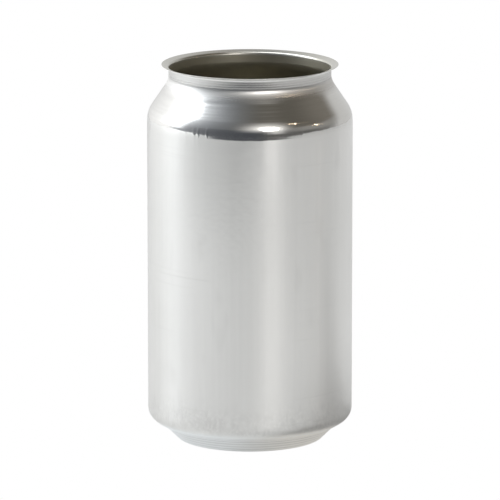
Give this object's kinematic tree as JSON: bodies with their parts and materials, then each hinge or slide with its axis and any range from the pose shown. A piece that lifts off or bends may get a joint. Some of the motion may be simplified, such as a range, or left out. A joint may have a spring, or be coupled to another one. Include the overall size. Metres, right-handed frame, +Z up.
{
  "type": "open aluminium can body",
  "caption": "Empty round can body of bare thin aluminium: domed base inside a standing ring, straight wall, necked shoulder and flared open rim.",
  "frame": {"origin": "centre of the standing ring, on the surface that the can stands on", "axes": "+Z up along the can's axis; the can is round, so X and Y are free, and -Y is taken as its front"},
  "size_m": [0.066, 0.066, 0.1222],
  "materials": {
    "bare_aluminium": "bright satin, drawn and ironed, unprinted"
  },
  "bodies": {
    "root": {"can_body": "bare_aluminium"}
  },
  "joints": []
}
